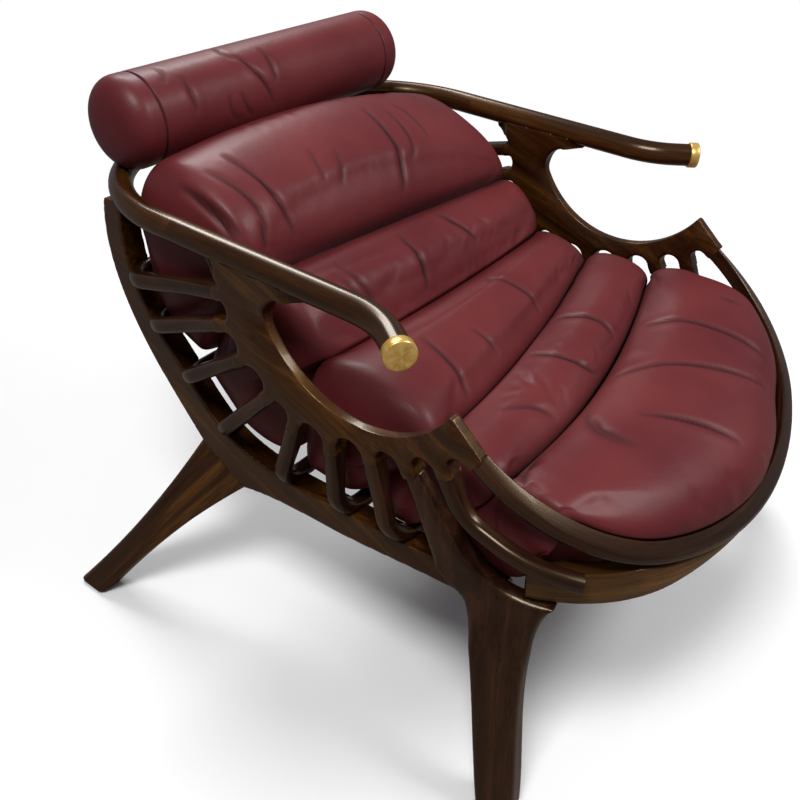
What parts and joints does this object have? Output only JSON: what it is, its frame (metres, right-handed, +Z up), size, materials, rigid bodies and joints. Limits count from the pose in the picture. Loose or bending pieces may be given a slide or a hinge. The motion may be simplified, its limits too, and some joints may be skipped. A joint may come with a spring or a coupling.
{
  "type": "lounge chair",
  "caption": "Low lounge chair: bent wooden ribs between carved side boards cradle a channelled leather pad, with brass-capped arms, splayed legs and a loose head bolster.",
  "frame": {"origin": "centre of the bounding box at floor level, between the feet", "axes": "+Z up; the chair faces -Y, so +Y is towards its back; +X is the sitter's left"},
  "size_m": [0.92, 0.9232, 0.7289],
  "materials": {
    "dark_wood": "dark walnut-brown stain under glossy lacquer",
    "golden_wood": "golden-brown, glossy lacquer",
    "beech": "raw hardwood dowels and pegs",
    "brass": "turned and brushed, satin",
    "steel": "plain bolts",
    "glide": "dark plastic",
    "leather": "oxblood, soft semi-gloss, stitched and gathered"
  },
  "bodies": {
    "frame": {"side_panel_right": "dark_wood", "side_panel_left": "dark_wood", "arm_right": "dark_wood", "arm_left": "dark_wood", "back_rail": "dark_wood", "rib_1": "dark_wood", "rib_2": "dark_wood", "rib_3": "dark_wood", "rib_4": "dark_wood", "rib_5": "dark_wood", "rib_6": "dark_wood", "rib_7": "dark_wood", "front_rim": "dark_wood", "front_brace_right": "dark_wood", "front_brace_left": "dark_wood", "front_leg_right": "dark_wood", "front_leg_left": "dark_wood", "rear_leg_right": "dark_wood", "rear_leg_left": "dark_wood", "keel_right": "dark_wood", "keel_left": "dark_wood", "front_apron": "golden_wood", "rib_dowels": "beech", "rim_dowels": "beech", "post_dowels": "beech", "rail_pegs": "beech", "leg_pegs": "beech", "brass_cap_right": "brass", "brass_cap_left": "brass", "leg_bolts": "steel", "foot_glides": "glide"},
    "pad": {"pad_front_roll": "leather", "pad_seat_roll": "leather", "pad_hip_roll": "leather", "pad_lumbar_roll": "leather", "pad_back_roll": "leather"},
    "bolster": {"head_bolster": "leather"}
  },
  "joints": [
    {"name": "pad_lift", "type": "slide", "parent": "frame", "child": "pad", "axis": [0, -0.1498, 0.9887], "range_m": [0, 0.25]},
    {"name": "bolster_lift", "type": "slide", "parent": "pad", "child": "bolster", "axis": [0, -0.1498, 0.9887], "range_m": [0, 0.15]}
  ]
}
